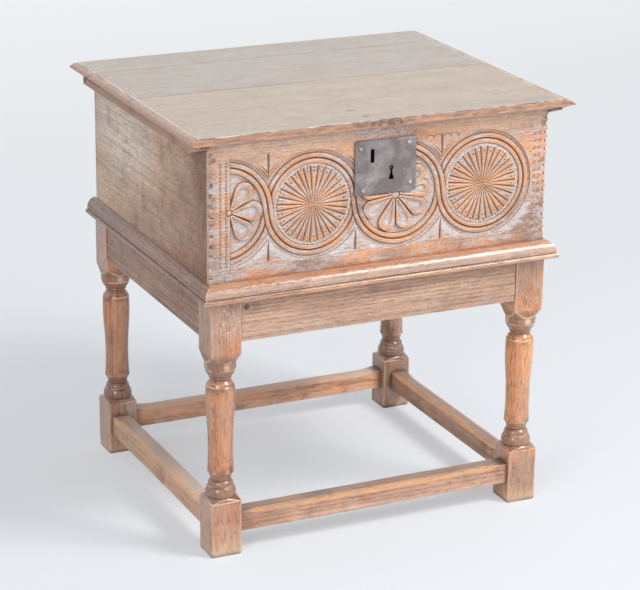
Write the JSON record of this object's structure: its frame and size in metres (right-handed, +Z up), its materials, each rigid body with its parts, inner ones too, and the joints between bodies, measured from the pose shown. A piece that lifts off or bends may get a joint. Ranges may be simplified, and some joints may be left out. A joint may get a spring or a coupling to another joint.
{
  "type": "bible box on stand",
  "caption": "Oak bible box with a carved front, iron lock plate and lifting lid, fixed on a joined stand with turned legs, aprons and box stretchers.",
  "frame": {"origin": "on the floor under the middle of the overall box", "axes": "+Z up, the carved front faces -Y, +X to the viewer's right"},
  "size_m": [0.674, 0.561, 0.709],
  "materials": {
    "oak_stand": "old wax polish",
    "oak_carved": "carved, worn wax with grey bloom",
    "oak_box": "dull waxed",
    "oak_lid_front": "satin, sun-bleached",
    "oak_lid_grey": "satin, grey and worn",
    "nail_iron": "hand-forged, rusted",
    "lock_iron": "hand-forged sheet, brown rust",
    "works_iron": "forged, oiled",
    "hinge_iron": "forged, worn bright"
  },
  "bodies": {
    "case": {"leg_front_left": "oak_stand", "leg_front_right": "oak_stand", "leg_back_left": "oak_stand", "leg_back_right": "oak_stand", "apron_front": "oak_stand", "apron_back": "oak_stand", "apron_left": "oak_stand", "apron_right": "oak_stand", "stretcher_front": "oak_stand", "stretcher_back": "oak_stand", "stretcher_left": "oak_stand", "stretcher_right": "oak_stand", "moulding_front": "oak_stand", "moulding_left": "oak_stand", "moulding_right": "oak_stand", "box_front": "oak_carved", "box_side_left": "oak_box", "box_side_right": "oak_box", "box_back": "oak_box", "box_bottom_front": "oak_box", "box_bottom_back": "oak_box", "box_front_nails": "nail_iron", "box_back_nails": "nail_iron", "box_bottom_nails": "nail_iron", "lock_cap_nails": "nail_iron", "lock_plate": "lock_iron", "lock_nails": "lock_iron", "lock_cap": "works_iron", "lock_drill_pin": "works_iron", "lock_bolt_guides": "works_iron", "lock_spring": "works_iron", "hinge_pin_left": "hinge_iron", "hinge_pin_right": "hinge_iron"},
    "lid": {"lid_board_front": "oak_lid_front", "lid_board_middle": "oak_lid_grey", "lid_board_back": "oak_lid_grey", "lid_cleat_left": "oak_lid_grey", "lid_cleat_right": "oak_lid_grey", "lid_nails": "nail_iron"},
    "bolt": {"lock_bolt": "works_iron"}
  },
  "joints": [
    {"name": "lid_hinge", "type": "hinge", "parent": "case", "child": "lid", "pos_m": [0, 0.2495, 0.684], "axis": [-1, 0, 0], "range_deg": [0, 90]},
    {"name": "bolt_slide", "type": "slide", "parent": "case", "child": "bolt", "axis": [-1, 0, 0], "range_m": [0, 0.011]}
  ]
}
